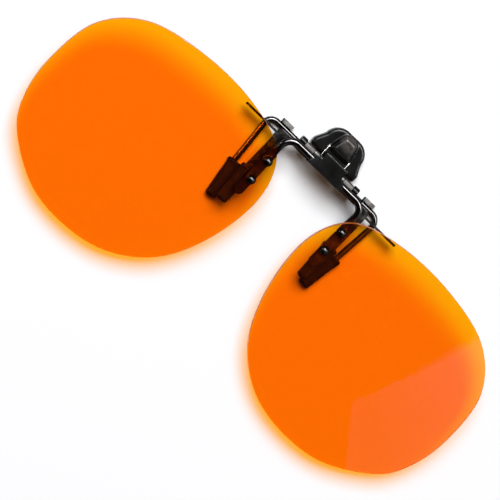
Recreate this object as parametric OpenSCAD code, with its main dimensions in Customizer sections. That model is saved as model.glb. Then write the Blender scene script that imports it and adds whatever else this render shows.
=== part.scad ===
// Flip-up clip-on tinted lenses for spectacles, seen from the front:
// X runs across the face, Y up the face, and Z away from it.
// It lies on the backs of the rear pads and the heel of the thumb lever.

/* [Lenses] */
// Width of one lens
lens_w = 61.7; // [56:0.1:66]
// Height of one lens
lens_h = 55; // [48:0.1:58]
// Gap between the two lenses, over the nose
bridge_w = 15.6; // [14:0.1:20]
// Thickness of a lens
lens_t = 1.8; // [1.4:0.1:2.2]
// Radius of the front curve of a lens
lens_curve = 180; // [140:5:260]
// Rise of a lens's top edge above the flip axis
lens_rise = 0.4; // [0:0.1:1]
// Slope of the lenses from the plane of the jaws, in degrees
lens_slope = 6; // [4:0.5:7]

/* [Lens rivets] */
// Distance of the rivets from the nose edge of the lens
rivet_inset = 5.3; // [4.8:0.1:7]
// Drop of the upper rivet below the flip axis
rivet_drop = 8.3; // [7.8:0.1:10]
// Distance between the two rivets of a lens
rivet_pitch = 6.1; // [5:0.1:7.5]
// Radius of a rivet's shank
rivet_r = 0.55; // [0.45:0.05:0.7]
// Radius of a rivet's domed head
dome_r = 1.25; // [1.1:0.05:1.5]
// Height of a rivet's domed head
dome_h = 0.85; // [0.6:0.05:1]
// Wall of the bush round a rivet
bush_wall = 0.3; // [0.2:0.05:0.4]
// Radius of the bush's flange
flange_r = 1.3; // [1.2:0.05:1.6]
// Thickness of the bush's flange
flange_t = 0.7; // [0.6:0.05:0.8]

/* [Flip bar] */
// Diameter of the bar
bar_d = 1.95; // [1.6:0.05:2.2]
// Bend radius of the bar at its centre line
bend_r = 3.2; // [2.6:0.1:3.2]
// Width of the flattened strap
strap_w = 2.6; // [2.4:0.1:3]
// Thickness of the flattened strap
strap_t = 0.9; // [0.7:0.05:1.1]
// Length of the strap past the lower rivet
strap_tail = 5; // [2:0.1:6]
// Length of the strap's flat above the upper rivet
strap_head = 2.75; // [2.6:0.05:2.8]

/* [Flip hinge] */
// Height of the flip axis above the jaw pivot
flip_rise = 4.4; // [4.3:0.1:5.2]
// Drop of the flip axis below the jaw pivot
flip_drop = 1.5; // [1.4:0.1:2]
// Width of the hinge block at its foot
block_foot_w = 11.2; // [10:0.1:12]
// Width of the hinge block at its top
block_top_w = 7; // [6:0.1:8]
// Rise of the hinge block's top above the flip axis
block_rise = 3.5; // [3:0.1:3.6]
// Wall of the hinge block round the bar
block_wall = 0.4; // [0.3:0.05:0.6]
// Thickness of the front cover over the bar's centre
cover_t = 1.75; // [1.6:0.05:2.2]
// Radius of the cover's crowned front
cover_crown = 40; // [34:1:80]
// Length of a rivet that holds the block on the front plate
block_rivet_l = 2.6; // [1.8:0.1:2.8]
// Thickness of the friction leaf
leaf_t = 0.3; // [0.2:0.05:0.4]
// Width of the friction leaf
leaf_w = 4.4; // [3:0.1:5]

/* [Front jaw] */
// Thickness of the front plate
plate_t = 0.8; // [0.6:0.05:1]
// Width of a leg of the front plate
leg_w = 2.8; // [2.2:0.1:3]
// Distance of a leg's centre line outside the lens rivets
leg_out = 1.3; // [1:0.1:2]
// Width of the plate's arms
arm_w = 1.3; // [1:0.05:1.3]
// Length of a brow wing past the leg
wing_l = 10.4; // [6:0.1:12]
// Thickness of a brow wing
wing_t = 0.6; // [0.5:0.05:0.8]
// Depth of a brow wing behind the plate
wing_depth = 1.6; // [1:0.1:1.7]
// Width of a front pad at its top
front_pad_w = 4.5; // [3.6:0.1:4.6]
// Width of a front pad at its tip
front_tip_w = 2.9; // [2.4:0.1:3.4]
// Length of a front pad
front_pad_l = 11; // [9:0.1:12]
// Drop of the front pads' tops below the jaw pivot
front_pad_drop = 13.9; // [13:0.1:15]
// Thickness of a front pad
front_pad_t = 2.8; // [2.4:0.1:3]

/* [Jaw pivot] */
// Radius of the pivot pin
pivot_r = 0.5; // [0.4:0.05:0.55]
// Wall of the rolled knuckles round the pin
knuckle_wall = 0.28; // [0.2:0.02:0.4]
// Height of the pivot above the rear pads' backs
pivot_rise = 4.2; // [4.1:0.05:4.4]
// Outer end of the front knuckles from the centre
knuckle_end = 8.2; // [7.8:0.1:8.6]
// Length of a front knuckle
front_knuckle_l = 2.9; // [2:0.1:3]
// Length of a rear knuckle
rear_knuckle_l = 1.5; // [1:0.1:1.6]
// Length of a pin cap
cap_l = 1.8; // [1.2:0.1:2]
// Radius of a pin cap
cap_r = 1.2; // [1:0.05:1.2]
// Diameter of the spring wire
spring_d = 0.4; // [0.3:0.05:0.45]
// Whole turns of each of the spring's two coils
spring_turns = 2; // [1:1:2]
// Reach of the spring's legs on the lever, above the pivot
spring_reach = 4.4; // [3.6:0.1:4.8]
// Width of the spring's bridge between its two coils
spring_bridge_w = 1.8; // [1.4:0.1:2]

/* [Rear jaw] */
// Diameter of the rear wire
wire_d = 1.5; // [1.2:0.05:1.5]
// Bend radius of the rear wire at its centre line
wire_bend = 2.4; // [1.8:0.1:3]
// Distance of a rear wire's leg outside the lens rivets, at its top
wire_out = 6; // [5.4:0.1:7]
// Lean of a rear wire's leg towards the nose, in degrees
wire_lean = 5; // [3:0.5:6]
// Drop of the rear wire below the jaw pivot
wire_drop = 0.9; // [0.8:0.05:1.1]
// Thickness of the rear plate
rear_plate_t = 0.6; // [0.5:0.05:0.7]
// Length of a crimp lug on the rear wire
crimp_l = 3.3; // [2.6:0.1:3.6]
// Rise of a crimp lug above the wire
crimp_rise = 1.15; // [0.9:0.05:1.2]
// Distance of a crimp lug's inner end inside the lens rivets
crimp_in = 0.4; // [0.3:0.1:0.8]
// Width of a rear pad at its top
rear_pad_w = 4.7; // [4:0.1:4.8]
// Width of a rear pad at its tip
rear_tip_w = 2.6; // [2.2:0.1:3.4]
// Length of a rear pad
rear_pad_l = 11; // [9:0.1:12]
// Distance of a rear pad's middle inside its wire
rear_pad_in = 0.7; // [0.4:0.05:0.8]
// Thickness of a rear pad
rear_pad_t = 3; // [2.8:0.05:3]
// Drop of the rear pads' tops below the jaw pivot
rear_pad_drop = 14.9; // [14:0.1:16]
// Corner radius of the pads
pad_round = 0.95; // [0.6:0.05:1.1]
// Gap between the closed pads
jaw_gap = 0.25; // [0.2:0.05:0.4]

/* [Thumb lever] */
// Width of the lever over its shoulders
lever_w = 14.9; // [13:0.1:15.5]
// Width of the lever's head
lever_head_w = 12; // [11:0.1:12.6]
// Radius of the head's two round corners
lever_head_r = 4.2; // [3:0.1:4.8]
// Height of the lever
lever_h = 8.8; // [7.5:0.1:10]
// Height of the lever's shoulders above its foot
shoulder_h = 1.8; // [1:0.1:2.2]
// Thickness of the lever's body
lever_t = 3.3; // [2.8:0.05:3.4]
// Width of the raised thumb pad at its foot
thumb_w = 6; // [5:0.1:6.4]
// Width of the thumb pad at its top
thumb_top_w = 4.4; // [4:0.1:5]
// Height of the thumb pad's lower edge above the lever's foot
thumb_foot = 2.2; // [2.1:0.1:3]
// Drop of the thumb pad's upper edge below the lever's top
thumb_drop = 1; // [0.8:0.1:2]
// Corner radius of the thumb pad
thumb_round = 1.2; // [0.8:0.1:1.3]
// Height that the thumb pad stands proud of the lever
thumb_rise = 1.5; // [1:0.1:1.6]
// Gap between the lever's foot and the jaw pivot
lever_foot = 1; // [0.95:0.05:1.2]
// Width of the rear plate's tongue in the lever's back
tongue_w = 8; // [6:0.1:9]
// Length of the tongue past the lever's foot
tongue_l = 4.6; // [3:0.1:5.4]
// Length of a rivet that holds the lever on the tongue
lever_rivet_l = 1.8; // [1.4:0.1:2]
// Corner radius of the lever's edges
lever_round = 0.8; // [0.4:0.05:1]

/* [Fits] */
// Radial clearance of a shaft or pin in its bore
run_fit = 0.04; // [0.02:0.01:0.08]
// Gap between pieces that are pressed or riveted together
seat = 0.02; // [0.01:0.01:0.05]
// Gap between pieces that move past each other
side_gap = 0.2; // [0.15:0.05:0.3]

/* [Hidden] */
$fn = 48;

// Colours, as seen in the light of a photo studio
tint = [1, 0.43, 0, 0.8];
steel = [0.42, 0.41, 0.42];
black_steel = [0.16, 0.16, 0.17];
black = [0.09, 0.09, 0.1];
left_side = -1;
right_side = 1;
eps = 0.01;

// Where two stretches of a bar or wire meet, one starts this far inside the other, and this much thinner
fuse_depth = 0.05;
fuse_step = 0.01;

// Heights above the plane that the part lies on
front_pad_z = rear_pad_t + jaw_gap;
plate_z = front_pad_z + (front_pad_t - plate_t) / 2;
plate_front = plate_z + plate_t;
flip_z = pivot_rise + flip_rise;
knuckle_r = pivot_r + run_fit + knuckle_wall;
wire_r = wire_d / 2;
wire_z = rear_pad_t / 2;
rear_plate_z = wire_z - wire_r - rear_plate_t;

// Places across the face
lens_x = bridge_w / 2 + lens_w / 2;
rivet_x = bridge_w / 2 + rivet_inset;
leg_x = rivet_x + leg_out;
wire_x = rivet_x + wire_out;

// The lens's outline, as shares of its half width and half height, from its temple side upwards
outline_shares = [[1, 0.02], [0.93, 0.52], [0.62, 0.86], [0.1, 0.99], [-0.42, 0.975], [-0.83, 0.815],
    [-1, 0.4], [-0.93, -0.2], [-0.7, -0.675], [-0.28, -0.955], [0.3, -0.97], [0.76, -0.7], [0.94, -0.4]];
outline_steps = 8;

function bend(a, b, c, d, t) = 0.5 * (2 * b + (c - a) * t + (2 * a - 5 * b + 4 * c - d) * t * t
    + (3 * b - a - 3 * c + d) * t * t * t);
function closed_curve(p, steps) = [for (i = [0:len(p) - 1], k = [0:steps - 1])
    bend(p[(i + len(p) - 1) % len(p)], p[i], p[(i + 1) % len(p)], p[(i + 2) % len(p)], k / steps)];

outline_curve = closed_curve(outline_shares, outline_steps);
curve_x = [for (p = outline_curve) p.x];
curve_y = [for (p = outline_curve) p.y];
outline_mid = [max(curve_x) + min(curve_x), max(curve_y) + min(curve_y)] / 2;
outline_size = [max(curve_x) - min(curve_x), max(curve_y) - min(curve_y)];

// The right lens's outline about the flip axis
lens_y = lens_rise - lens_h / 2;
lens_outline = [for (p = outline_curve)
    [lens_x + (p.x - outline_mid.x) * lens_w / outline_size.x,
     lens_y + (p.y - outline_mid.y) * lens_h / outline_size.y]];

// The two rivets of a lens stand square to the lens halfway between them
mount_y = -rivet_drop - rivet_pitch / 2;
lens_back_curve = lens_curve - lens_t;
mount_offset = [rivet_x - lens_x, mount_y - lens_y];
mount_depth = sqrt(pow(lens_back_curve, 2) - mount_offset * mount_offset);
mount_normal = [mount_offset.x, mount_offset.y, mount_depth] / lens_back_curve;
flange_reach = rivet_pitch / 2 + flange_r;
lens_sag = lens_back_curve - sqrt(pow(lens_back_curve, 2) - flange_reach * flange_reach);
flange_top = -lens_sag - eps;
strap_top = flange_top - flange_t;
strap_mid = strap_top - strap_t / 2;
// The strap's middle runs level with the bar, so this is how far the lens's back lies above the bar
lens_lift = -strap_mid * mount_normal.z;
curve_centre_z = lens_lift - mount_depth;
bush_r = rivet_r + run_fit + bush_wall;

// The part's origin is the middle of its length, under it
function tilted_y(p, z) = p.y * cos(lens_slope) - z * sin(lens_slope);
function lens_z(p, r) = curve_centre_z
    + sqrt(r * r - pow(p.x - lens_x, 2) - pow(p.y - lens_y, 2));
flip_low = min([for (p = lens_outline) tilted_y(p, lens_z(p, lens_curve))]);
part_low = -flip_drop + flip_low;
part_high = lever_foot + lever_h;
pivot_y = -(part_low + part_high) / 2;
flip_y = pivot_y - flip_drop;

// Arms, knuckles and hinge block, from the nose outwards and from the foot up
arm_top = pivot_y - cap_r - side_gap / 2;
arm_low = arm_top - arm_w;
block_low = flip_y - bar_d / 2 - run_fit - block_wall;
block_high = flip_y + block_rise;
knuckle_in = knuckle_end - front_knuckle_l;
rear_knuckle_out = knuckle_in - side_gap;
rear_knuckle_in = rear_knuckle_out - rear_knuckle_l;
leaf_z = flip_z - bar_d / 2 - run_fit - leaf_t;
leaf_low = flip_y - bar_d / 2;
leaf_l = block_high - leaf_low - 2 * block_wall;
block_rivet_x = block_foot_w / 2 - 4 * rivet_r;
block_relief = 1.5 * side_gap;
tail_r = dome_r - bush_wall;

// Pads, rear wire, crimps and lever
front_pad_y = pivot_y - front_pad_drop;
rear_pad_y = pivot_y - rear_pad_drop;
leg_low = front_pad_y - front_pad_l + 2 * pad_round;
wire_y = pivot_y - wire_drop;
crimp_x = rivet_x - crimp_in;
lug_low = wire_y + wire_r + seat;
lever_y = pivot_y + lever_foot;
rear_plate_top = rear_plate_z + rear_plate_t;
wire_leg_y = wire_y - wire_bend;
wire_leg_l = (wire_leg_y - rear_pad_y) / cos(wire_lean) + rear_pad_l - 2 * pad_round;

// The spring's centre line about the pivot, drawn for the left half and mirrored for the right:
// a leg on the lever, a coil round the pin, and half of the bridge that bears on the hinge block
ring_sides = 6;
rings_a_turn = 8;
spring_coil_r = (pivot_r + run_fit + spring_d / 2) / cos(180 / rings_a_turn);
spring_out = rear_knuckle_in - side_gap - spring_d / 2;
spring_leg_x = (thumb_w + spring_d) / 2 + side_gap;
spring_leg_z = lever_t + spring_d / 2 + seat - pivot_rise;
bridge_y = lever_foot + spring_d;
bridge_z = plate_front + block_relief - seat - spring_d / 2 - pivot_rise;
coil_steps = rings_a_turn * spring_turns + rings_a_turn / 2;
spring_half = concat(
    [for (y = [spring_reach, lever_foot + 2]) [-spring_leg_x, y, spring_leg_z]],
    [[-spring_out, lever_foot + spring_d, spring_leg_z]],
    [for (i = [0:coil_steps]) let (angle = 270 - 360 * i / rings_a_turn)
        [(spring_out - spring_bridge_w / 2) * i / coil_steps - spring_out,
         spring_coil_r * cos(angle), spring_coil_r * sin(angle)]],
    [[-spring_bridge_w / 2, bridge_y, bridge_z]]);
spring_line = concat(spring_half, [for (i = [len(spring_half) - 1:-1:0])
    [-spring_half[i].x, spring_half[i].y, spring_half[i].z]]);
spring_rings = len(spring_line);
// Least gap between the spring's wire and itself, taken between rings at least half a turn apart
spring_gap = min([for (i = [0:spring_rings - 1], k = [i + rings_a_turn / 2:1:spring_rings - 1])
    norm(spring_line[i] - spring_line[k])]) - spring_d;
echo(spring_least_gap_mm = spring_gap);

// Moves what is drawn about the flip axis to its place on the part
module on_flip_axis() {
    translate([0, flip_y, flip_z]) rotate([lens_slope, 0, 0]) children();
}

// Moves what is drawn on a lens's back, between its rivets, to its place about the flip axis
module on_lens_back() {
    lean = -asin(mount_normal.y);
    turn = atan2(mount_normal.x, mount_normal.z);
    translate([rivet_x, mount_y, lens_lift]) rotate([lean, turn, 0]) children();
}

// Draws its children at both rivets of a lens
module at_rivets() {
    for (k = [-1, 1]) translate([0, k * rivet_pitch / 2, 0]) children();
}

// A left piece is the right one mirrored
module on_side(side) {
    if (side == left_side) mirror([1, 0, 0]) children();
    else children();
}

module on_both_sides() {
    for (side = [left_side, right_side]) on_side(side) children();
}

// A cylinder along X from one place to another
module shaft(from_x, to_x, r) {
    translate([from_x, 0, 0]) rotate([0, 90, 0]) cylinder(h = to_x - from_x, r = r);
}

// A cap of a sphere with a flat base
module dome(r, h) {
    ball_r = (r * r + h * h) / (2 * h);
    intersection() {
        translate([0, 0, h - ball_r]) sphere(r = ball_r);
        cylinder(h = h, r = r);
    }
}

// The lens: its outline cut from a shell between two spheres, with two holes for its bushes
module lens(side) {
    color(tint) on_side(side) on_flip_axis() difference() {
        intersection() {
            translate([0, 0, curve_centre_z]) linear_extrude(lens_curve + lens_t) polygon(lens_outline);
            translate([lens_x, lens_y, curve_centre_z]) difference() {
                sphere(r = lens_curve, $fn = 180);
                sphere(r = lens_back_curve, $fn = 180);
            }
        }
        on_lens_back() at_rivets() translate([0, 0, -lens_t])
            cylinder(h = 3 * lens_t, r = bush_r + run_fit);
    }
}

// The rivets through lens, bush and strap: a domed head in front and a low one behind
module lens_rivets(side) {
    tail_h = dome_h / 2;
    strap_back = strap_top - strap_t;
    color(black_steel) on_side(side) on_flip_axis() on_lens_back() at_rivets() {
        translate([0, 0, lens_t]) dome(dome_r, dome_h);
        translate([0, 0, strap_back - eps]) cylinder(h = lens_t - strap_back + 2 * eps, r = rivet_r);
        translate([0, 0, strap_back]) mirror([0, 0, 1]) dome(tail_r, tail_h);
    }
}

// The bushes that line the lens's holes, each with a flange between lens and strap
module lens_bushes(side) {
    sleeve_l = lens_t - lens_sag - seat;
    color(black) on_side(side) on_flip_axis() on_lens_back() at_rivets() difference() {
        union() {
            translate([0, 0, flange_top - flange_t]) cylinder(h = flange_t, r = flange_r);
            translate([0, 0, flange_top - flange_t]) cylinder(h = sleeve_l + flange_t, r = bush_r);
        }
        translate([0, 0, flange_top - 2 * flange_t])
            cylinder(h = lens_t + 3 * flange_t, r = rivet_r + run_fit);
    }
}

// The flattened strap, drilled for the rivets
module strap(low, high) {
    on_lens_back() translate([0, 0, strap_top - strap_t]) linear_extrude(strap_t) difference() {
        union() {
            translate([-strap_w / 2, low]) square([strap_w, high - low]);
            translate([0, low]) circle(r = strap_w / 2);
        }
        at_rivets() circle(r = rivet_r + run_fit);
    }
}

// An end of the flip bar: a bend that tapers into a strap
module bar_end() {
    high = rivet_pitch / 2 + strap_head;
    low = -rivet_pitch / 2 - strap_tail + strap_w / 2;
    depth = 3 * fuse_depth;
    step = 3 * fuse_step;
    translate([rivet_x - bend_r, -bend_r, 0]) rotate_extrude(angle = 90)
        translate([bend_r, 0]) circle(r = bar_d / 2);
    hull() {
        translate([rivet_x, -bend_r + depth, 0]) rotate([90, 0, 0])
            cylinder(h = 2 * depth, r = bar_d / 2 - step, $fn = 32);
        on_lens_back() translate([-strap_w / 2 + 2 * step, high - depth, strap_top - strap_t + 2 * step])
            cube([strap_w - 4 * step, eps, strap_t - 4 * step]);
    }
    strap(low, high);
}

// The bar that carries both lenses, in one piece from strap to strap
module flip_bar() {
    color(black_steel) on_flip_axis() {
        shaft(bend_r - rivet_x, rivet_x - bend_r, bar_d / 2);
        on_both_sides() bar_end();
    }
}

// Outline of the hinge block, wide at its foot and narrow at its top
module block_outline() {
    foot = block_foot_w / 2;
    top = block_top_w / 2;
    neck = flip_y + bar_d / 2;
    polygon([[-foot, block_low], [foot, block_low], [foot, flip_y], [top, neck], [top, block_high],
        [-top, block_high], [-top, neck], [-foot, flip_y]]);
}

// The bar's bore through block and cover
module bar_bore() {
    translate([0, flip_y, flip_z]) shaft(-block_foot_w, block_foot_w, bar_d / 2 + run_fit);
}

// Draws its children at both rivets of the hinge block
module at_block_rivets() {
    for (side = [left_side, right_side])
        translate([side * block_rivet_x, arm_low + arm_w / 2, 0]) children();
}

// The rear half of the flip hinge. Its foot stands on the plate's arm, the rest clears the knuckles
module hinge_block() {
    color(black) difference() {
        translate([0, 0, plate_front + seat]) linear_extrude(flip_z - plate_front - 2 * seat) block_outline();
        bar_bore();
        translate([-block_foot_w, arm_top, plate_z])
            cube([2 * block_foot_w, block_high, plate_t + block_relief]);
        translate([-leaf_w / 2 - seat, leaf_low - seat, leaf_z - seat])
            cube([leaf_w + 2 * seat, leaf_l + 2 * seat, flip_z - leaf_z]);
        at_block_rivets() translate([0, 0, plate_z])
            cylinder(h = block_rivet_l + seat, r = rivet_r + seat);
    }
}

// The front half of the flip hinge, with a crowned face
module hinge_cover() {
    color(black) difference() {
        intersection() {
            translate([0, 0, flip_z + seat]) linear_extrude(cover_t) block_outline();
            translate([0, block_low, flip_z + cover_t - cover_crown]) rotate([-90, 0, 0])
                cylinder(h = block_high - block_low, r = cover_crown, $fn = 200);
        }
        bar_bore();
    }
}

// Two rivets that hold the hinge block on the front plate
module block_rivets() {
    color(steel) at_block_rivets() {
        translate([0, 0, plate_z - eps]) cylinder(h = block_rivet_l + eps, r = rivet_r);
        translate([0, 0, plate_z]) mirror([0, 0, 1]) dome((rivet_r + arm_w / 2) / 2, rivet_r / 2);
    }
}

// The leaf that rubs on the bar, so that the lenses stay where they are put
module friction_leaf() {
    color(steel) translate([-leaf_w / 2, leaf_low, leaf_z]) cube([leaf_w, leaf_l, leaf_t]);
}

// One side of the front plate: an arm, a leg, a brow wing and a knuckle rolled round the pivot pin
module half_front_plate() {
    leg_r = leg_w / 2;
    translate([0, 0, plate_z]) linear_extrude(plate_t) {
        translate([-eps, arm_low]) square([leg_x + eps, arm_w]);
        translate([leg_x, arm_top - leg_r]) circle(r = leg_r);
        translate([leg_x - leg_r, leg_low + leg_r]) square([leg_w, arm_top - leg_low - leg_w]);
        translate([leg_x, leg_low + leg_r]) circle(r = leg_r);
        translate([knuckle_in, arm_top - eps]) square([front_knuckle_l, pivot_y - arm_top + eps]);
    }
    translate([knuckle_in, pivot_y - knuckle_r / 2, pivot_rise])
        cube([front_knuckle_l, knuckle_r / 2, plate_front - pivot_rise]);
    translate([0, pivot_y, pivot_rise]) shaft(knuckle_in, knuckle_end, knuckle_r);
    translate([leg_x + leg_r - plate_t, arm_low, plate_z - wing_depth]) rotate([90, 0, 0])
        linear_extrude(wing_t) wing_outline();
}

// A brow wing seen from above, with its outer corners rounded
module wing_outline() {
    deep = wing_depth + plate_t;
    corner = deep / 3;
    square([wing_l + plate_t - corner, deep]);
    translate([0, corner]) square([wing_l + plate_t, deep - 2 * corner]);
    for (z = [corner, deep - corner]) translate([wing_l + plate_t - corner, z]) circle(r = corner);
}

module front_plate() {
    color(steel) difference() {
        on_both_sides() half_front_plate();
        translate([0, pivot_y, pivot_rise]) shaft(-2 * knuckle_end, 2 * knuckle_end, pivot_r + run_fit);
        at_block_rivets() translate([0, 0, plate_z - plate_t]) cylinder(h = 3 * plate_t, r = rivet_r + seat);
    }
}

// The pin that both jaws turn on
module pivot_pin() {
    color(steel) translate([0, pivot_y, pivot_rise])
        shaft(-knuckle_end - cap_l, knuckle_end + cap_l, pivot_r);
}

// The caps pressed on the pin's ends
module pin_caps() {
    color(black) on_both_sides() translate([0, pivot_y, pivot_rise]) difference() {
        shaft(knuckle_end + side_gap / 2, knuckle_end + cap_l, cap_r);
        shaft(knuckle_end, knuckle_end + 2 * cap_l, pivot_r + seat);
    }
}

// A soft sleeve: wide and square at its top, narrow at its tip, rounded all over
module pad_body(top_w, tip_w, long, thick) {
    r = pad_round;
    hull() for (x = [-1, 1], z = [r, thick - r]) {
        translate([x * (top_w / 2 - r), -r, z]) sphere(r = r, $fn = 28);
        translate([x * (tip_w / 2 - r), r - long, z]) sphere(r = r, $fn = 28);
        translate([x * (tip_w / 2 + (top_w - tip_w) / 6 - r), 3 * r - long, z]) sphere(r = r, $fn = 28);
    }
}

module front_pad(side) {
    color(black) on_side(side) difference() {
        translate([leg_x, front_pad_y, front_pad_z])
            pad_body(front_pad_w, front_tip_w, front_pad_l, front_pad_t);
        translate([leg_x - leg_w / 2 - seat, leg_low - seat, plate_z - seat])
            cube([leg_w + 2 * seat, front_pad_l, plate_t + 2 * seat]);
    }
}

// Moves what is drawn down the Y axis to the leaning leg that starts at the rear wire's bend
module on_wire_leg() {
    translate([wire_x - wire_bend, wire_leg_y, wire_z]) rotate([0, 0, -wire_lean])
        translate([wire_bend, 0, 0]) children();
}

// The wire that carries the rear pads, in one piece from pad to pad
module rear_wire() {
    straight = wire_x - wire_bend + fuse_depth;
    color(black_steel) {
        translate([0, wire_y, wire_z]) shaft(-straight, straight, wire_r - fuse_step);
        on_both_sides() on_wire_leg() {
            translate([-wire_bend, 0, 0]) rotate_extrude(angle = 90 + wire_lean)
                translate([wire_bend, 0]) circle(r = wire_r);
            rotate([90, 0, 0]) cylinder(h = wire_leg_l, r = wire_r);
        }
    }
}

module rear_pad(side) {
    color(black) on_side(side) difference() {
        on_wire_leg() translate([-rear_pad_in, -(wire_leg_y - rear_pad_y) / cos(wire_lean), -wire_z])
            pad_body(rear_pad_w, rear_tip_w, rear_pad_l, rear_pad_t);
        on_wire_leg() rotate([90, 0, 0]) cylinder(h = wire_leg_l + seat, r = wire_r + seat);
    }
}

// A piece of the rear plate's sheet, from its lower edge up to a height
module rear_sheet(from_x, to_x, high) {
    low = wire_y - wire_r;
    translate([from_x, low, rear_plate_z]) cube([to_x - from_x, high - low, rear_plate_t - seat]);
}

// One side of the rear plate: a strip behind the wire, a lug that grips the wire, and a knuckle
module half_rear_plate() {
    lug_high = lug_low + crimp_rise;
    knuckle_high = pivot_y + knuckle_r;
    rear_sheet(-eps, crimp_x + crimp_l, wire_y);
    rear_sheet(crimp_x, crimp_x + crimp_l, lug_high);
    rear_sheet(rear_knuckle_in, rear_knuckle_out, knuckle_high);
    translate([crimp_x, lug_low, rear_plate_z])
        cube([crimp_l, lug_high - lug_low, 2 * wire_r + rear_plate_t]);
    translate([rear_knuckle_in, lug_low, rear_plate_z])
        cube([rear_knuckle_l, knuckle_high - lug_low, pivot_rise - rear_plate_z]);
    translate([0, pivot_y, pivot_rise]) shaft(rear_knuckle_in, rear_knuckle_out, knuckle_r);
}

module rear_plate() {
    color(steel) difference() {
        union() {
            on_both_sides() half_rear_plate();
            rear_sheet(-tongue_w / 2, tongue_w / 2, lever_y + tongue_l);
        }
        translate([0, pivot_y, pivot_rise]) shaft(-2 * knuckle_end, 2 * knuckle_end, pivot_r + run_fit);
        at_lever_rivets() translate([0, 0, -rear_plate_t]) cylinder(h = 3 * rear_plate_t, r = rivet_r + seat);
    }
}

// Outline of the lever: a head with two round corners that flares out to the shoulders and the foot
module lever_outline(inset) {
    corner_x = lever_head_w / 2 - lever_head_r;
    corner_y = lever_h - lever_head_r;
    foot = lever_w / 2 - inset;
    r = lever_head_r - inset;
    half = concat([[foot, inset], [foot, shoulder_h]],
        [for (angle = [0:10:90]) [corner_x + r * cos(angle), corner_y + r * sin(angle)]]);
    polygon(concat(half, [for (i = [len(half) - 1:-1:0]) [-half[i].x, half[i].y]]));
}

module at_lever_rivets() {
    for (side = [left_side, right_side])
        translate([side * tongue_w / 4, lever_y + tongue_l / 2, rear_plate_z]) children();
}

module thumb_lever() {
    color(black) difference() {
        union() {
            translate([0, lever_y, 0]) minkowski() {
                translate([0, 0, lever_round]) linear_extrude(lever_t - 2 * lever_round)
                    lever_outline(lever_round);
                sphere(r = lever_round, $fn = 24);
            }
            thumb_pad();
        }
        translate([-tongue_w / 2 - seat, lever_y - lever_foot, -seat])
            cube([tongue_w + 2 * seat, lever_foot + tongue_l + seat, rear_plate_top + seat]);
        at_lever_rivets() cylinder(h = lever_rivet_l + seat, r = rivet_r + seat);
    }
}

// The raised pad that the thumb presses
module thumb_pad() {
    r = thumb_round;
    low = lever_y + thumb_foot;
    high = lever_y + lever_h - thumb_drop;
    hull() {
        for (x = [-1, 1]) translate([x * (thumb_w / 2 - r), low + r, lever_t + thumb_rise - r])
            sphere(r = r, $fn = 28);
        for (x = [-1, 1]) translate([x * (thumb_top_w / 2 - r), high - r, lever_t + thumb_rise - r])
            sphere(r = r, $fn = 28);
        translate([0, (low + high) / 2, lever_t / 2]) cube([thumb_w, high - low, eps], center = true);
    }
}

module lever_rivets() {
    color(steel) at_lever_rivets() {
        cylinder(h = lever_rivet_l, r = rivet_r);
        mirror([0, 0, 1]) dome(tail_r, rear_plate_z - seat);
    }
}

// Directions for a tube's rings: square to the way ahead, and turned as little as can be
function unit(v) = v / norm(v);
function square_to(v, ahead) = unit(v - (v * ahead) * ahead);
function ways_ahead(line) = [for (i = [0:len(line) - 1])
    unit(line[min(i + 1, len(line) - 1)] - line[max(i - 1, 0)])];
function ways_aside(ahead) = [for (i = 0, v = square_to([1, 0, 0], ahead[0]); i < len(ahead);
    i = i + 1, v = i < len(ahead) ? square_to(v, ahead[i]) : v) v];

// A tube of a few sides along a line
module tube(line, r, sides) {
    ahead = ways_ahead(line);
    aside = ways_aside(ahead);
    last = (len(line) - 1) * sides;
    points = [for (i = [0:len(line) - 1], k = [0:sides - 1]) let (angle = 360 * k / sides)
        line[i] + r * (cos(angle) * aside[i] + sin(angle) * cross(ahead[i], aside[i]))];
    walls = [for (i = [0:len(line) - 2], k = [0:sides - 1])
        let (here = i * sides, next = here + sides, m = (k + 1) % sides)
        each [[here + k, next + k, here + m], [here + m, next + k, next + m]]];
    ends = [for (k = [1:sides - 2]) each [[0, k, k + 1], [last, last + k + 1, last + k]]];
    polyhedron(points = points, faces = concat(walls, ends));
}

// The spring that closes the jaws, with its two coils round the pin
module torsion_spring() {
    color(steel) translate([0, pivot_y, pivot_rise]) tube(spring_line, spring_d / 2, ring_sides);
}

front_plate();
hinge_block();
hinge_cover();
block_rivets();
friction_leaf();
pivot_pin();
pin_caps();
front_pad(left_side);  // left_front_pad
front_pad(right_side);  // right_front_pad
flip_bar();
lens(left_side);  // left_lens
lens(right_side);  // right_lens
lens_rivets(left_side);  // left_lens_rivets
lens_rivets(right_side);  // right_lens_rivets
lens_bushes(left_side);  // left_lens_bushes
lens_bushes(right_side);  // right_lens_bushes
rear_plate();
rear_wire();
rear_pad(left_side);  // left_rear_pad
rear_pad(right_side);  // right_rear_pad
thumb_lever();
lever_rivets();
torsion_spring();
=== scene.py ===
from math import cos, pi, radians, sin, sqrt

import bmesh
import bpy
from mathutils import Matrix, Vector


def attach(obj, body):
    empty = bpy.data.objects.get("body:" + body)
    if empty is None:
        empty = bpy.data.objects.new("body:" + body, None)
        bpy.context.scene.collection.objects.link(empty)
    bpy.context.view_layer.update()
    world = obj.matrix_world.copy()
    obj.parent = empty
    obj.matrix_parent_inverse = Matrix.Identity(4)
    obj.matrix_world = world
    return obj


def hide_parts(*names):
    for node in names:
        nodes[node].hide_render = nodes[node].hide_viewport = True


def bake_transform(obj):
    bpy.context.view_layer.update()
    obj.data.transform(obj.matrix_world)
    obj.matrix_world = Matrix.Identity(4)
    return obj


MM = 0.001

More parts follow.
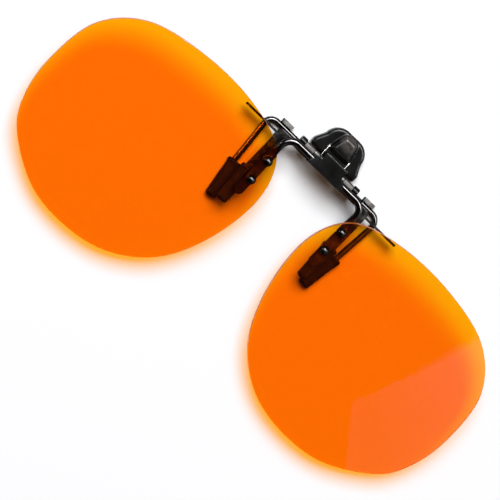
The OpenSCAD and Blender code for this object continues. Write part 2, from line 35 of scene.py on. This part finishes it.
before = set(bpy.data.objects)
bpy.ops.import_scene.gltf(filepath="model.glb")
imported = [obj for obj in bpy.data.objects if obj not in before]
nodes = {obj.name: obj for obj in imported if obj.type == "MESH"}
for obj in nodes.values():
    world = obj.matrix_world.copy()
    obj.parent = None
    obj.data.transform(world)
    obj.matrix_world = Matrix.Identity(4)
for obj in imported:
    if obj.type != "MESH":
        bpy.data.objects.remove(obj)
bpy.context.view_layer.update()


# Shader helpers

def linear(colour):
    """The linear colour of an sRGB hex value, as a shader wants it."""
    channels = [int(colour[i:i + 2], 16) / 255 for i in (1, 3, 5)]
    return [c / 12.92 if c <= 0.04045 else ((c + 0.055) / 1.055) ** 2.4 for c in channels] + [1.0]


def toned(colour, share):
    """A linear colour, made darker or lighter."""
    return [c * share for c in colour[:3]] + [1.0]


def per_metre(spacing_mm):
    """The scale of a pattern whose grains are this far apart."""
    return 1 / (spacing_mm * MM)


def add(material, kind, inputs=None, **settings):
    """Adds a shader node with its settings. An input is a value, or another node's output to link."""
    made = material.node_tree.nodes.new("ShaderNode" + kind)
    for name, value in settings.items():
        setattr(made, name, value)
    for name, value in (inputs or {}).items():
        if isinstance(value, bpy.types.NodeSocket):
            material.node_tree.links.new(value, made.inputs[name])
        else:
            made.inputs[name].default_value = value
    return made


def new_material(name):
    """A material with nothing in it yet."""
    material = bpy.data.materials.new(name)
    material.use_nodes = True
    material.node_tree.nodes.clear()
    return material


def finished(material, shader):
    """The material, showing this shader."""
    add(material, "OutputMaterial", {"Surface": shader.outputs[0]})
    return material


def object_place(material):
    """Where on the object a point is, in the frame that all pieces share."""
    return add(material, "TexCoord").outputs["Object"]


def clouds(material, place, spacing_mm, detail=2.0, roughness=0.5):
    """A cloudy pattern, with its clouds this far apart."""
    return add(material, "TexNoise", {"Vector": place, "Scale": per_metre(spacing_mm), "Detail": detail,
                                      "Roughness": roughness}).outputs["Fac"]


def remap(material, value, given, wanted):
    """Carries a value from the given range to the wanted one, and holds it at both ends."""
    return add(material, "MapRange", {"Value": value, "From Min": given[0], "From Max": given[1],
                                      "To Min": wanted[0], "To Max": wanted[1]}).outputs["Result"]


def two_tone(material, amount, dark, light, span=(0.0, 1.0)):
    """A colour that turns from dark to light as the amount crosses its span."""
    ramp = add(material, "ValToRGB", {"Fac": amount})
    for stop, position, colour in zip(ramp.color_ramp.elements, span, (dark, light)):
        stop.position = position
        stop.color = colour
    return ramp.outputs["Color"]


def overlay(material, share, below, colour):
    """The colour below, covered by another where the share is high."""
    return add(material, "MixRGB", {"Fac": share, "Color1": below, "Color2": colour}).outputs["Color"]


def relief(material, height, strength, depth_mm):
    """The surface's normal, tilted by a pattern as deep as this."""
    return add(material, "Bump", {"Height": height, "Strength": strength,
                                  "Distance": depth_mm * MM}).outputs["Normal"]


# Materials

def tinted_polycarbonate():
    """Amber polycarbonate, injection moulded and hard coated: clear through, deep orange over white,
    with a faint violet gloss from its anti-glare coat. The rim is ground and uncoated: half matt amber."""
    material = new_material("tinted_polycarbonate")
    once_through = [1.0, 0.385, 0.001, 1.0]
    per_face = [sqrt(c) for c in once_through]
    ior = 1.586
    position = add(material, "TexCoord")
    # Moulding leaves slow waves in the sheet, which only bend reflections
    waves = clouds(material, position.outputs["Object"], spacing_mm=25, detail=1.0)
    sheet = add(material, "BsdfPrincipled", {
        "Base Color": once_through, "Roughness": 0.02, "IOR": ior, "Transmission Weight": 1.0,
        "Specular Tint": linear("#a08cff"), "Normal": relief(material, waves, strength=0.04, depth_mm=0.2)})
    # The rim is where the surface stands upright, across the thickness of the sheet
    upright = add(material, "SeparateXYZ", {"Vector": position.outputs["Normal"]}).outputs["Z"]
    level = add(material, "Math", {0: upright}, operation="ABSOLUTE").outputs[0]
    on_rim = remap(material, level, (0.35, 0.6), (1.0, 0.0))
    rim = add(material, "BsdfPrincipled", {"Base Color": linear("#c8620c"), "Roughness": 0.4, "IOR": ior,
                                           "Specular IOR Level": 0.2})
    lens = add(material, "MixShader", {0: on_rim, 1: sheet.outputs[0], 2: rim.outputs[0]})
    # The light that goes through on its way to the paper, or from it, takes the dye's colour
    dyed_light = add(material, "BsdfTransparent", {"Color": per_face})
    ray = add(material, "LightPath")
    from_paper = add(material, "MixShader", {0: ray.outputs["Is Diffuse Ray"],
                                             1: lens.outputs[0], 2: dyed_light.outputs[0]})
    surface = add(material, "MixShader", {0: ray.outputs["Is Shadow Ray"],
                                          1: from_paper.outputs[0], 2: dyed_light.outputs[0]})
    material.diffuse_color = linear("#ff8f00")
    return finished(material, surface)


def plated_steel(name, colour, edge_colour, roughness, streaks, brushing_mm, rolled=None):
    """Plated steel wire or sheet. Drawing and tumbling leave fine streaks along it. Its edge colour is what
    the plating turns to where it is seen at a slant. Rolled knuckles, from a level up the face in mm, have
    a colour and a roughness of their own."""
    material = new_material(name)
    place = object_place(material)
    along = add(material, "Mapping", {"Vector": place, "Scale": (0.08, 1.0, 1.0)}).outputs[0]
    streaky = clouds(material, along, brushing_mm, detail=4.0, roughness=0.6)
    tarnish = clouds(material, place, spacing_mm=1.8, detail=3.0)
    gloss = remap(material, tarnish, (0.35, 0.7), (roughness * 0.75, roughness * 1.35))
    base = linear(colour)
    hue = two_tone(material, tarnish, toned(base, 0.8), toned(base, 1.15), span=(0.3, 0.75))
    if rolled:
        level, knuckle_colour, knuckle_roughness = rolled
        height = add(material, "SeparateXYZ", {"Vector": place}).outputs["Y"]
        on_knuckle = remap(material, height, ((level - 0.3) * MM, level * MM), (0.0, 1.0))
        gloss = remap(material, on_knuckle, (0.0, 1.0), (gloss, knuckle_roughness))
        hue = overlay(material, on_knuckle, hue, linear(knuckle_colour))
    metal = add(material, "BsdfPrincipled", {
        "Base Color": hue, "Specular Tint": linear(edge_colour), "Metallic": 1.0, "Roughness": gloss,
        "Normal": relief(material, streaky, strength=streaks, depth_mm=0.01)})
    material.diffuse_color = base
    return finished(material, metal)


def moulded_abs(name, rubbed_above=None, sheen_patch=None):
    """Black ABS from a spark-eroded mould: a fine even grain, 0.25 mm apart, that breaks its gloss. An edge
    that the thumb rubs, above a level up the face in mm, has lost its grain and shines. A painted highlight,
    given by its middle up the face, its half height and half width in mm, lightens the colour to a mottled
    brown grey."""
    material = new_material(name)
    place = object_place(material)
    grain = add(material, "TexVoronoi", {"Vector": place, "Scale": per_metre(0.25), "Randomness": 1.0},
                feature="SMOOTH_F1").outputs["Distance"]
    handling = clouds(material, place, spacing_mm=3, detail=3.0)
    hue = two_tone(material, grain, linear("#050504"), linear("#0e0d0b"))
    shine = 0.12
    if rubbed_above:
        height = add(material, "SeparateXYZ", {"Vector": place}).outputs["Y"]
        shine = remap(material, height, ((rubbed_above - 0.1) * MM, rubbed_above * MM), (shine, 1.0))
    # Painted sheen: a lighter brown grey laid into the base colour over an oval patch, mottled by noise
    if sheen_patch:
        middle, half_height, half_width = sheen_patch
        from_middle = add(material, "Mapping", {
            "Vector": place, "Location": (0, -middle / half_height, 0),
            "Scale": (1 / (half_width * MM), 1 / (half_height * MM), 0)}).outputs[0]
        reach = add(material, "VectorMath", {0: from_middle}, operation="LENGTH").outputs["Value"]
        sheen_area = remap(material, reach, (0.7, 1.15), (1.0, 0.0))
        sheen_mottle = remap(material, clouds(material, place, spacing_mm=0.9, detail=3.0), (0.35, 0.6), (0.45, 1.0))
        painted_sheen = add(material, "Math", {0: sheen_area, 1: sheen_mottle}, operation="MULTIPLY").outputs[0]
        hue = overlay(material, painted_sheen, hue, linear("#46413e"))
    return finished(material, add(material, "BsdfPrincipled", {
        "Base Color": hue, "Roughness": remap(material, handling, (0.3, 0.7), (0.20, 0.27)), "IOR": 1.54,
        "Specular IOR Level": shine, "Normal": relief(material, grain, strength=0.15, depth_mm=0.02)}))


def soft_vinyl():
    """Dip-moulded black PVC sleeves: soft gloss, with shallow dimples about 0.6 mm apart."""
    material = new_material("soft_vinyl")
    dimples = clouds(material, object_place(material), spacing_mm=0.6)
    return finished(material, add(material, "BsdfPrincipled", {
        "Base Color": two_tone(material, dimples, linear("#0b0a09"), linear("#15120f")),
        "Roughness": 0.45, "IOR": 1.53, "Specular IOR Level": 0.05,
        "Normal": relief(material, dimples, strength=0.3, depth_mm=0.03)}))


def turned_nylon():
    """Black nylon turned on a lathe: half matt, with rings 0.15 mm apart round its own height."""
    material = new_material("turned_nylon")
    place = object_place(material)
    rings = add(material, "TexWave", {"Vector": place, "Scale": per_metre(0.15) / (2 * pi),
                                      "Distortion": 0.4}, bands_direction="Z").outputs["Fac"]
    stain = clouds(material, place, spacing_mm=0.8)
    return finished(material, add(material, "BsdfPrincipled", {
        "Base Color": two_tone(material, stain, linear("#0d0c0b"), linear("#171513")),
        "Roughness": 0.45, "IOR": 1.53, "Specular IOR Level": 0.10,
        "Normal": relief(material, rings, strength=0.2, depth_mm=0.01)}))


def studio_paper():
    """Matt white background paper, with the faint tooth of its fibres."""
    material = new_material("studio_paper")
    fibres = clouds(material, object_place(material), spacing_mm=0.8, detail=4.0)
    return finished(material, add(material, "BsdfPrincipled", {
        "Base Color": linear("#f6f6f6"), "Roughness": 0.9, "IOR": 1.4, "Specular IOR Level": 0.2,
        "Normal": relief(material, fibres, strength=0.05, depth_mm=0.05)}))


lens_sheet = tinted_polycarbonate()
# Black nickel over polished wire: dark, with hard bright lines where the lights strike
black_nickel = plated_steel("black_nickel", "#464444", "#4a4848",
                            roughness=0.15, streaks=0.08, brushing_mm=0.05)
# The lenses' rivets are blacker than the wire, each with one small glint
rivet_nickel = plated_steel("rivet_nickel", "#2f2e2e", "#363434",
                            roughness=0.20, streaks=0.05, brushing_mm=0.05)
# Dark nickel over tumbled sheet: an even satin grey
satin_nickel = plated_steel("satin_nickel", "#52504e", "#444241",
                            roughness=0.42, streaks=0.25, brushing_mm=0.08)
# The front plate's nickel is nearly black on its flat legs and wings, and a dull grey on the knuckles
smoked_nickel = plated_steel("smoked_nickel", "#383635", "#333130",
                             roughness=0.24, streaks=0.15, brushing_mm=0.08,
                             rolled=(21.9, "#4b4947", 0.60))
# Bare drawn wire: brighter than the plated pieces, with lines along it
spring_wire = plated_steel("spring_wire", "#c2c0bc", "#d8d6d2",
                           roughness=0.24, streaks=0.20, brushing_mm=0.04)
black_abs = moulded_abs("moulded_abs")
# The hinge block's upper edge lies where the thumb pinches, and draws a light line there
rubbed_abs = moulded_abs("rubbed_abs", rubbed_above=24.95)
# The lever's end gets a painted highlight: a lighter brown grey where its dome faces the lights
sheen_painted_abs = moulded_abs("sheen_painted_abs", sheen_patch=(30.7, 2.3, 2.5))
pad_vinyl = soft_vinyl()
bush_nylon = turned_nylon()


# Finishes of the CAD pieces: what each is made of, and how far its edges are rounded, in mm
FINISHES = {
    "left_lens": (lens_sheet, 0.22), "right_lens": (lens_sheet, 0.22),
    "left_lens_rivets": (rivet_nickel, 0.0), "right_lens_rivets": (rivet_nickel, 0.0),
    "left_lens_bushes": (bush_nylon, 0.05), "right_lens_bushes": (bush_nylon, 0.05),
    "flip_bar": (black_nickel, 0.12), "rear_wire": (black_nickel, 0.1),
    "front_plate": (smoked_nickel, 0.1), "rear_plate": (satin_nickel, 0.08),
    "block_rivets": (satin_nickel, 0.0), "lever_rivets": (satin_nickel, 0.0),
    "friction_leaf": (spring_wire, 0.03), "pivot_pin": (satin_nickel, 0.08),
    "pin_caps": (black_abs, 0.2), "hinge_block": (black_abs, 0.2), "hinge_cover": (rubbed_abs, 0.25),
    "thumb_lever": (sheen_painted_abs, 0.0)}

SAME_POINT = 0.0005 * MM
FLAT_EDGE = radians(0.5)
SHARP_EDGE = radians(32)
EDGE_STEPS = 3

# The lever's mould is blended by hand, so its edges melt into one another. The grain of the blend, in mm
BLENDED = {"thumb_lever": 0.15}
BLEND_PASSES = 16
BLEND_SHARE = 0.5


def dress(piece, material, edge_mm, blend_mm):
    """Gives a CAD node its finish, and rounds the edges that tooling and tumbling round."""
    piece.data.materials.clear()
    piece.data.materials.append(material)
    piece.data.polygons.foreach_set("use_smooth", [True] * len(piece.data.polygons))
    piece.modifiers.new("joined_faces", "WELD").merge_threshold = SAME_POINT
    if edge_mm:
        merge = piece.modifiers.new("flat_faces", "DECIMATE")
        merge.decimate_type = "DISSOLVE"
        merge.angle_limit = FLAT_EDGE
        edges = piece.modifiers.new("soft_edges", "BEVEL")
        edges.width = edge_mm * MM
        edges.segments = EDGE_STEPS
        edges.limit_method = "ANGLE"
        edges.angle_limit = SHARP_EDGE
        edges.use_clamp_overlap = True
    if blend_mm:
        skin = piece.modifiers.new("even_skin", "REMESH")
        skin.mode = "VOXEL"
        skin.voxel_size = blend_mm * MM
        skin.use_smooth_shade = True
        melt = piece.modifiers.new("blended_edges", "SMOOTH")
        melt.factor = BLEND_SHARE
        melt.iterations = BLEND_PASSES
    piece.modifiers.new("even_shade", "WEIGHTED_NORMAL").keep_sharp = True


for name, (material, edge_mm) in FINISHES.items():
    dress(nodes[name], material, edge_mm, BLENDED.get(name))


# Modelled pieces

def mesh_piece(name, rings, material):
    """A closed piece skinned over rings of points in mm, all with the same number of points."""
    shell = bmesh.new()
    loops = [[shell.verts.new(p) for p in ring] for ring in rings]
    for near, far in zip(loops, loops[1:]):
        for i in range(len(near)):
            j = (i + 1) % len(near)
            shell.faces.new((near[i], near[j], far[j], far[i]))
    shell.faces.new(list(reversed(loops[0])))
    shell.faces.new(loops[-1])
    bmesh.ops.recalc_face_normals(shell, faces=shell.faces)
    mesh = bpy.data.meshes.new(name)
    shell.to_mesh(mesh)
    shell.free()
    for face in mesh.polygons:
        face.use_smooth = True
    mesh.materials.append(material)
    piece = bpy.data.objects.new(name, mesh)
    bpy.context.scene.collection.objects.link(piece)
    return piece


IN_MM = Matrix.Diagonal((MM, MM, MM, 1))

# The soft sleeves, in mm. A sleeve has a bore for the leg, a lip round it, a collar with a rounded edge,
# a step down to the tapered body, and a rounded tip. A thin seam runs down both sides
SLEEVE_LENGTH = 11.0
BORE_DEPTH, BORE_EDGE = 0.8, 0.15
LIP_DEPTH, LIP_WIDTH = 0.03, 0.12
FACE_INSET = 0.42
COLLAR_ROUND, COLLAR_ROUND_DEPTHS = 0.38, (0.06, 0.2, 0.4)
COLLAR_END, STEP_END, BODY_START = 0.95, 1.1, 1.3
COLLAR_STEP, STEP_WIDTH_DEPTH = 0.10, 0.5
TIP_ROUND = 0.85
SEAM = 0.04
# How square the sections are: 2 is an oval
BORE_SQUARE, END_SQUARE, BODY_SQUARE = 2.5, 2.8, 3.0
RING_POINTS, BODY_RINGS, TIP_RINGS = 48, 10, 6
# The last ring stops just short of the tip, which a small face closes
TIP_SHARE = 0.96


def sleeve_ring(depth, half_w, half_t, squareness, seam):
    """A ring round a sleeve, across its length. The seam is where the mould's halves met."""
    ring = []
    for i in range(RING_POINTS):
        a = 2 * pi * i / RING_POINTS
        c, s = cos(a), sin(a)
        x = half_w * abs(c) ** (2 / squareness) * (1 if c >= 0 else -1)
        z = half_t * abs(s) ** (2 / squareness) * (1 if s >= 0 else -1)
        if i % (RING_POINTS // 2) == 0:
            x += seam if c > 0 else -seam
        ring.append(Vector((x, -depth, z)))
    return ring


def sleeve(name, node, top_w, tip_w, thickness, bore, place):
    """A soft sleeve pushed over a leg. It is drawn down the Y axis from its mouth, and then put in place."""
    half_t = thickness / 2
    bore_w, bore_t = bore
    shoulder_w = tip_w + (top_w - tip_w) / 3

    def half_width(depth):
        share = min(max(depth / (SLEEVE_LENGTH - 2 * TIP_ROUND), 0), 1)
        return (top_w + (shoulder_w - top_w) * share) / 2

    rings = [sleeve_ring(BORE_DEPTH, bore_w, bore_t, BORE_SQUARE, 0),
             sleeve_ring(BORE_EDGE, bore_w, bore_t, BORE_SQUARE, 0),
             sleeve_ring(LIP_DEPTH, bore_w + LIP_WIDTH, bore_t + LIP_WIDTH, BORE_SQUARE, 0),
             sleeve_ring(0, half_width(0) - FACE_INSET, half_t - FACE_INSET, END_SQUARE, 0)]
    for depth in COLLAR_ROUND_DEPTHS:
        inset = COLLAR_ROUND * (1 - depth / COLLAR_ROUND_DEPTHS[-1]) ** 2
        rings.append(sleeve_ring(depth, half_width(0) - inset, half_t - inset, BODY_SQUARE, SEAM))
    rings.append(sleeve_ring(COLLAR_END, half_width(0), half_t, BODY_SQUARE, SEAM))
    rings.append(sleeve_ring(STEP_END, half_width(STEP_WIDTH_DEPTH) - COLLAR_STEP,
                             half_t - COLLAR_STEP, BODY_SQUARE, SEAM))
    for i in range(BODY_RINGS + 1):
        depth = BODY_START + (SLEEVE_LENGTH - TIP_ROUND - BODY_START) * i / BODY_RINGS
        rings.append(sleeve_ring(depth, half_width(depth) - COLLAR_STEP, half_t - COLLAR_STEP,
                                 BODY_SQUARE, SEAM))
    for i in range(1, TIP_RINGS + 1):
        a = pi / 2 * i / TIP_RINGS * TIP_SHARE
        inset = COLLAR_STEP + TIP_ROUND * (1 - cos(a))
        rings.append(sleeve_ring(SLEEVE_LENGTH - TIP_ROUND + TIP_ROUND * sin(a),
                                 half_width(SLEEVE_LENGTH) - inset, half_t - inset, END_SQUARE,
                                 SEAM * cos(a)))
    piece = mesh_piece(name, rings, pad_vinyl)
    piece.data.transform(place @ IN_MM)
    smooth = piece.modifiers.new("smooth", "SUBSURF")
    smooth.levels = smooth.render_levels = 1
    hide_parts(node)
    return piece


# Where the right pads' mouths are, in mm, how the rear wire's legs lean, and each pair's sizes
FRONT_MOUTH, REAR_MOUTH = Vector((14.4, 9.28, 4.65)), Vector((17.38, 8.13, 1.5))
REAR_LEAN = radians(5)
FRONT_SIZES = {"top_w": 4.5, "tip_w": 2.9, "thickness": 2.8, "bore": (1.5, 0.5)}
REAR_SIZES = {"top_w": 4.7, "tip_w": 2.6, "thickness": 3.0, "bore": (0.82, 0.82)}

for side, sign in (("left", -1), ("right", 1)):
    mirror = Matrix.Diagonal((sign, 1, 1))
    front_place = Matrix.Translation(mirror @ FRONT_MOUTH * MM)
    front = sleeve(side + "_front_sleeve", side + "_front_pad", place=front_place, **FRONT_SIZES)
    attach(front, "front_jaw")
    rear_place = Matrix.Translation(mirror @ REAR_MOUTH * MM) @ Matrix.Rotation(-sign * REAR_LEAN, 4, "Z")
    rear = sleeve(side + "_rear_sleeve", side + "_rear_pad", place=rear_place, **REAR_SIZES)
    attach(rear, "rear_jaw")

# The jaw spring: a leg on the lever, a coil round the pin, the bridge on the hinge block, and back. In mm
PIVOT = Vector((0, 23.1794, 4.2))
SPRING_WIRE = 0.4
COIL_R = 0.785
COIL_OUT, COIL_IN, COIL_TURNS = 3.2, 0.9, 2.5
STEPS_A_TURN = 24
WIRE_SIDES = 12
# The wire's bends, from the pivot: the left leg down to the coil, and from the coil to the bridge's middle
LEFT_LEG = ((-3.4, 4.4, -0.68), (-3.4, 3.6, -0.68), (-3.38, 2.6, -0.69), (-3.3, 1.7, -0.72),
            (-3.24, 0.8, -0.76))
TO_BRIDGE = ((-0.9, 0.6, 0.83), (-0.88, 1.0, 0.88), (-0.78, 1.28, 0.92), (-0.55, 1.39, 0.93))


def half_spring():
    """The wire's line about the pivot, from the left leg's end to the left end of the bridge."""
    line = [Vector(p) for p in LEFT_LEG]
    steps = int(STEPS_A_TURN * COIL_TURNS)
    for i in range(steps + 1):
        angle = radians(270) - 2 * pi * i / STEPS_A_TURN
        x = -COIL_OUT + (COIL_OUT - COIL_IN) * i / steps
        line.append(Vector((x, COIL_R * cos(angle), COIL_R * sin(angle))))
    return line + [Vector(p) for p in TO_BRIDGE]


def wire_rings(line, radius, steps):
    """Rings square to a line, each turned as little as can be from the last."""
    rings, aside = [], Vector((1, 0, 0))
    for i, point in enumerate(line):
        ahead = (line[min(i + 1, len(line) - 1)] - line[max(i - 1, 0)]).normalized()
        aside = (aside - ahead * aside.dot(ahead)).normalized()
        across = ahead.cross(aside)
        rings.append([point + radius * (aside * cos(2 * pi * k / steps) + across * sin(2 * pi * k / steps))
                      for k in range(steps)])
    return rings


left_half = half_spring()
right_half = [Vector((-p.x, p.y, p.z)) for p in reversed(left_half)]
wire = wire_rings(left_half + right_half, SPRING_WIRE / 2, WIRE_SIDES)
spring = mesh_piece("jaw_spring", wire, spring_wire)
spring.data.transform(IN_MM @ Matrix.Translation(PIVOT))
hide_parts("torsion_spring")
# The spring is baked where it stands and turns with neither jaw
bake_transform(spring)


# Studio

PAPER_RADIUS, PAPER_SIDES = 6.0, 96
paper = bpy.data.meshes.new("paper_sheet")
disc = bmesh.new()
bmesh.ops.create_circle(disc, cap_ends=True, segments=PAPER_SIDES, radius=PAPER_RADIUS)
disc.to_mesh(paper)
disc.free()
paper.materials.append(studio_paper())
floor = bpy.data.objects.new("paper_floor", paper)
bpy.context.scene.collection.objects.link(floor)

# The camera looks down at the part from the photo's side, tilted about Y and turned about its own line
VIEW_TILT = radians(10)
VIEW_TURN = radians(43.9)
VIEW_FROM = 0.95
VIEW_AT = Vector((-0.35, -5.55, 8.0)) * MM
SENSOR = 36.0
PIXELS_PER_METRE = 4020
PHOTO_PIXELS = 500

across = Vector((cos(VIEW_TILT), 0, sin(VIEW_TILT)))
upwards = Vector((0, 1, 0))
towards = Vector((-sin(VIEW_TILT), 0, cos(VIEW_TILT)))
right = cos(VIEW_TURN) * across + sin(VIEW_TURN) * upwards
up = -sin(VIEW_TURN) * across + cos(VIEW_TURN) * upwards
optics = bpy.data.cameras.new("photo_camera")
optics.sensor_width = SENSOR
optics.lens = PIXELS_PER_METRE * VIEW_FROM * SENSOR / PHOTO_PIXELS
camera = bpy.data.objects.new("photo_camera", optics)
camera.matrix_world = Matrix((right, up, towards)).transposed().to_4x4()
camera.location = VIEW_AT + towards * VIEW_FROM
bpy.context.scene.collection.objects.link(camera)
bpy.context.scene.camera = camera

# What the lights are aimed at: the middle of the part
MIDDLE = (0, 0, 0)


def softbox(name, place, aim, width, height, watts, seen_in_gloss=True, seen_in_matt=True, tint="#ffffff"):
    """A soft light at a place, aimed at a point. Its width runs level."""
    lamp = bpy.data.lights.new(name, "AREA")
    lamp.color = linear(tint)[:3]
    lamp.shape = "RECTANGLE"
    lamp.size, lamp.size_y = width, height
    lamp.energy = watts
    box = bpy.data.objects.new(name, lamp)
    box.matrix_world = (Matrix.Translation(place)
                        @ (Vector(aim) - Vector(place)).to_track_quat("-Z", "Y").to_matrix().to_4x4())
    box.visible_glossy = seen_in_gloss
    box.visible_diffuse = seen_in_matt
    bpy.context.scene.collection.objects.link(box)


# The key light hangs over the picture's upper edge, so that the shadows fall straight down the picture
softbox("key_softbox", (-0.65, 1.08, 2.36), MIDDLE, 1.67, 1.57, 96.0, tint="#f8fbff")
# A long bright strip draws the white lines along the wires
softbox("strip_light", (0.10, 0.50, 0.85), MIDDLE, 1.3, 0.25, 30.0, seen_in_matt=False)
# The shade is warm, from the light that the amber lenses throw about
softbox("overhead_fill", (0.25, -0.1, 1.1), MIDDLE, 1.5, 1.5, 1.5, seen_in_gloss=False, tint="#ffbf85")
# A card at the left draws a thin line down the side of each leg. Only what lies under a lens sees it
softbox("left_card", (-0.75, 0.0, 0.45), MIDDLE, 0.25, 0.5, 6.0, seen_in_gloss=False, seen_in_matt=False)
# A small card at the same place lights the ends of the spring
softbox("spring_card", (-0.75, -0.02, 0.45), MIDDLE, 0.12, 0.16, 1.2, seen_in_matt=False)

# A white panel stands close to the right lens, which mirrors its corner. It glows more towards its far end,
# so it is laid up in layers, 1 mm apart: where each begins along the panel, and how brightly it glows
PANEL_CORNER = Vector((0.102, -0.078, 0.195))
PANEL_ALONG = Vector((0.352, 0.936, 0.0))
PANEL_FACING = Vector((-0.936, 0.352, 0.0))
PANEL_END, PANEL_HEIGHT = 0.27, 0.185
PANEL_GLOW = [(0.0, 0.26)] + [(0.025 + 0.012 * k, 0.075) for k in range(8)] + [(0.16, 2.0)]
for k, (begin, glow) in enumerate(PANEL_GLOW):
    wide = PANEL_END - begin
    middle = PANEL_CORNER + PANEL_ALONG * (begin + wide / 2) - Vector((0, 0, PANEL_HEIGHT / 2))
    middle += PANEL_FACING * MM * k
    softbox(f"side_panel_{k + 1}", middle, middle + PANEL_FACING, wide, PANEL_HEIGHT,
            glow * pi * wide * PANEL_HEIGHT, seen_in_matt=False)

WALL_GLOW = 0.02
world = bpy.data.worlds.new("studio_walls")
bpy.context.scene.world = world
world.use_nodes = True
walls = world.node_tree.nodes["Background"].inputs
walls["Color"].default_value = linear("#ffffff")
walls["Strength"].default_value = WALL_GLOW
bpy.context.scene.view_settings.view_transform = "Standard"
